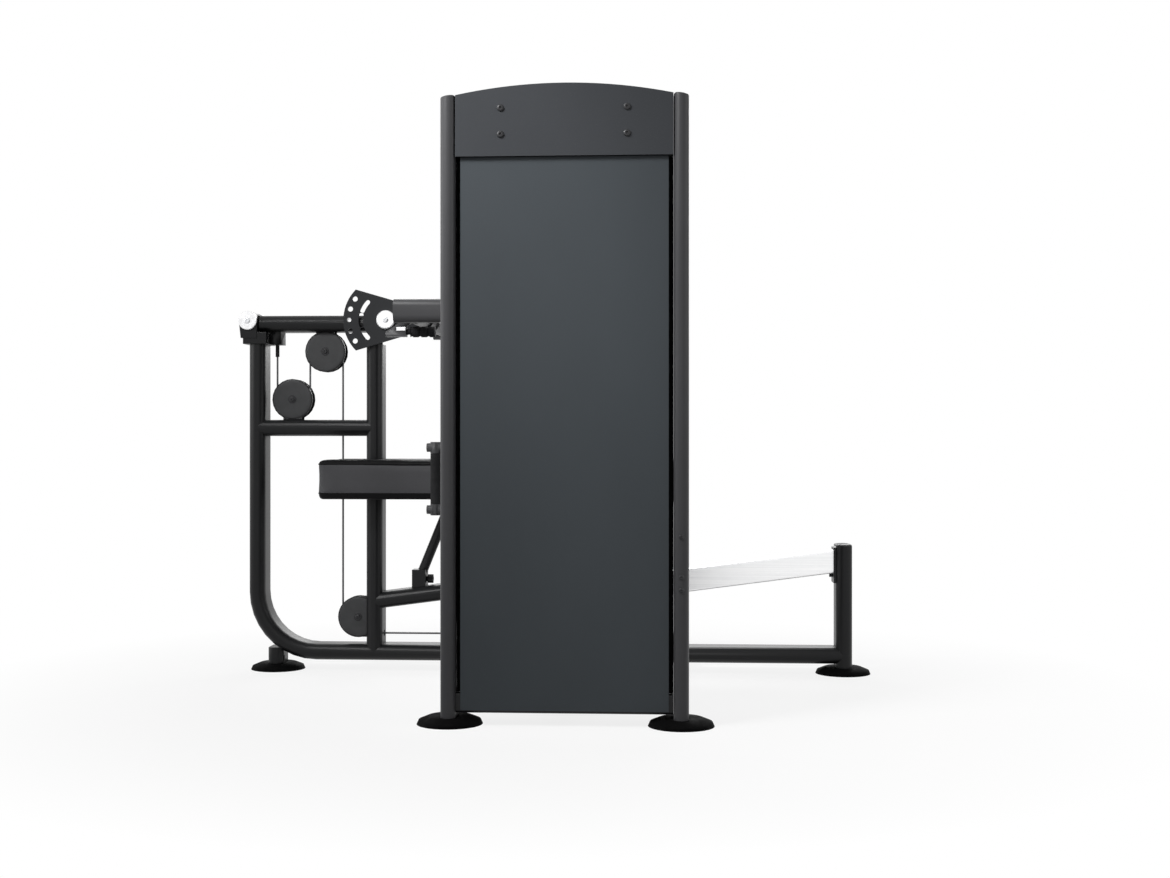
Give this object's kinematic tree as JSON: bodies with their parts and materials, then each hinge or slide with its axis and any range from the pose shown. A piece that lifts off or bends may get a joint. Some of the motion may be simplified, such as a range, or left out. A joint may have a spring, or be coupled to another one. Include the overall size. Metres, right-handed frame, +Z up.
{
  "type": "multi press machine",
  "caption": "Selectorised press machine: tilting press lever with handles, sliding bench with a tilting back, and a plate stack in a side tower.",
  "frame": {"origin": "middle of the footprint, on the floor", "axes": "+Z up; +X along the main frame from the press lever to the front post; the weight tower stands on the -Y side"},
  "size_m": [1.9326, 1.3376, 1.5895],
  "materials": {
    "frame_paint": "satin",
    "panel_paint": "satin",
    "plate_paint": "satin",
    "bright_steel": "satin",
    "aluminium": "satin",
    "pulley_nylon": "matte",
    "rubber": "matte",
    "vinyl": "satin",
    "cable_jacket": "gloss",
    "iron": "matte",
    "liner_plastic": "matte"
  },
  "bodies": {
    "main_frame": {"base_frame": "frame_paint", "second_upright": "frame_paint", "cross_beam": "frame_paint", "front_post": "frame_paint", "foot_rear": "rubber", "foot_front": "rubber", "foot_tower_rear": "rubber", "foot_tower_front": "rubber", "pivot_saddle": "frame_paint", "pivot_shaft": "bright_steel", "lever_bumper": "rubber", "slide_rail": "aluminium", "rail_support_beam": "frame_paint", "back_prop": "frame_paint", "tower_upright_rear": "frame_paint", "tower_upright_front": "frame_paint", "tower_base_beam": "frame_paint", "tower_top_beam": "frame_paint", "tower_outer_panel": "panel_paint", "tower_head_shell": "panel_paint", "tower_inner_shroud": "panel_paint", "guide_rod_rear": "bright_steel", "guide_rod_front": "bright_steel", "stack_buffer": "rubber", "lower_plates": "iron", "turning_pulley_bracket": "frame_paint", "cable_beam_wrap": "cable_jacket", "cable_stud_strand": "cable_jacket", "cable_middle_strand": "cable_jacket", "cable_long_strand": "cable_jacket", "cable_tower_run": "cable_jacket", "cable_stack_strand": "cable_jacket"},
    "press_lever": {"lever_beam": "frame_paint", "cable_lever_wrap": "cable_jacket"},
    "yoke": {"sector_plate": "plate_paint", "press_arms": "frame_paint", "yoke_axle": "bright_steel", "grip_near": "rubber", "grip_far": "rubber"},
    "yoke_lock": {"lock_pin": "bright_steel"},
    "release": {"release_grip": "rubber"},
    "weights": {"selected_plates": "iron", "top_plate": "iron"},
    "selector": {"selector_pin": "rubber"},
    "bench_carriage": {"carriage": "frame_paint", "carriage_liner": "liner_plastic", "seat_pad": "vinyl"},
    "carriage_lock": {"carriage_pin": "rubber"},
    "back_rest": {"back_frame": "frame_paint", "back_pad": "vinyl"},
    "link": {"tilt_link": "bright_steel"},
    "prop_clamp": {"prop_clamp_knob": "rubber"},
    "lever_pulley": {"pulley_lever": "pulley_nylon"},
    "beam_pulley": {"pulley_beam": "pulley_nylon"},
    "low_pulley": {"pulley_low": "pulley_nylon"},
    "turning_pulley": {"pulley_turning": "pulley_nylon"},
    "tower_base_pulley": {"pulley_tower_base": "pulley_nylon"},
    "top_front_pulley": {"pulley_top_front": "pulley_nylon"},
    "top_middle_pulley": {"pulley_top_middle": "pulley_nylon"}
  },
  "joints": [
    {"name": "lever_swing", "type": "hinge", "parent": "main_frame", "child": "press_lever", "pos_m": [-0.93775, 0.28877, 1.077], "axis": [0, -1, 0], "range_deg": [0, 38], "deforming": ["cable_stud_strand", "cable_middle_strand", "cable_long_strand"]},
    {"name": "yoke_adjust", "type": "hinge", "parent": "press_lever", "child": "yoke", "pos_m": [-0.50875, 0.28877, 1.077], "axis": [0, -1, 0], "range_deg": [-34, 34]},
    {"name": "lock_pin_pull", "type": "slide", "parent": "press_lever", "child": "yoke_lock", "axis": [0, 1, 0], "range_m": [-0.0121, 0]},
    {"name": "release_grip_slide", "type": "slide", "parent": "yoke", "child": "release", "axis": [1, 0, 0], "range_m": [-0.012, 0]},
    {"name": "stack_lift", "type": "slide", "parent": "main_frame", "child": "weights", "axis": [0, 0, 1], "range_m": [0, 0.36], "deforming": ["cable_stack_strand"]},
    {"name": "selector_pin_pull", "type": "slide", "parent": "weights", "child": "selector", "axis": [0, 1, 0], "range_m": [0, 0.058]},
    {"name": "seat_slide", "type": "slide", "parent": "main_frame", "child": "bench_carriage", "axis": [0.9912, 0, 0.1323], "range_m": [0, 0.34]},
    {"name": "back_tilt", "type": "hinge", "parent": "bench_carriage", "child": "back_rest", "pos_m": [0.01225, 0.28877, 0.536], "axis": [0, 1, 0], "range_deg": [0, 70.1]},
    {"name": "link_turn", "type": "hinge", "parent": "main_frame", "child": "link", "pos_m": [0.36307, 0.36277, 0.098], "axis": [0, 1, 0], "range_deg": [0, 45.1]},
    {"name": "carriage_pin_pull", "type": "slide", "parent": "bench_carriage", "child": "carriage_lock", "axis": [0, 1, 0], "range_m": [-0.015, 0]},
    {"name": "prop_clamp_turn", "type": "hinge", "parent": "main_frame", "child": "prop_clamp", "pos_m": [-0.39275, 0.28877, 0.281], "axis": [1, 0, 0], "continuous": true},
    {"name": "lever_pulley_spin", "type": "hinge", "parent": "press_lever", "child": "lever_pulley", "pos_m": [-0.70595, 0.28877, 0.983], "axis": [0, -1, 0], "range_deg": [0, 191]},
    {"name": "beam_pulley_spin", "type": "hinge", "parent": "main_frame", "child": "beam_pulley", "pos_m": [-0.80895, 0.28877, 0.8356], "axis": [0, 1, 0], "range_deg": [0, 58]},
    {"name": "low_pulley_spin", "type": "hinge", "parent": "main_frame", "child": "low_pulley", "pos_m": [-0.60295, 0.28877, 0.164], "axis": [0, 1, 0], "range_deg": [0, 399.4]},
    {"name": "turning_pulley_spin", "type": "hinge", "parent": "main_frame", "child": "turning_pulley", "pos_m": [0.27735, 0.23727, 0.1125], "axis": [0, 0, 1], "range_deg": [0, 399.4]},
    {"name": "tower_base_pulley_spin", "type": "hinge", "parent": "main_frame", "child": "tower_base_pulley", "pos_m": [0.32885, -0.50973, 0.164], "axis": [1, 0, 0], "range_deg": [0, 399.4]},
    {"name": "top_front_pulley_spin", "type": "hinge", "parent": "main_frame", "child": "top_front_pulley", "pos_m": [0.27735, -0.56123, 1.505], "axis": [0, 1, 0], "range_deg": [0, 399.4]},
    {"name": "top_middle_pulley_spin", "type": "hinge", "parent": "main_frame", "child": "top_middle_pulley", "pos_m": [0.14835, -0.56123, 1.505], "axis": [0, 1, 0], "range_deg": [0, 399.4]}
  ],
  "couplings": [
    {"joint": "stack_lift", "follows": "lever_swing", "m_per_rad": 0.54},
    {"joint": "lever_pulley_spin", "follows": "lever_swing", "ratio": 5},
    {"joint": "beam_pulley_spin", "follows": "lever_swing", "ratio": 1.5},
    {"joint": "low_pulley_spin", "follows": "lever_swing", "ratio": 10.483},
    {"joint": "turning_pulley_spin", "follows": "lever_swing", "ratio": 10.483},
    {"joint": "tower_base_pulley_spin", "follows": "lever_swing", "ratio": 10.483},
    {"joint": "top_front_pulley_spin", "follows": "lever_swing", "ratio": 10.483},
    {"joint": "top_middle_pulley_spin", "follows": "lever_swing", "ratio": 10.483},
    {"joint": "lock_pin_pull", "follows": "release_grip_slide", "ratio": 1},
    {"joint": "back_tilt", "follows": "seat_slide", "rad_per_m": 3.5933},
    {"joint": "link_turn", "follows": "seat_slide", "rad_per_m": 2.3103}
  ]
}
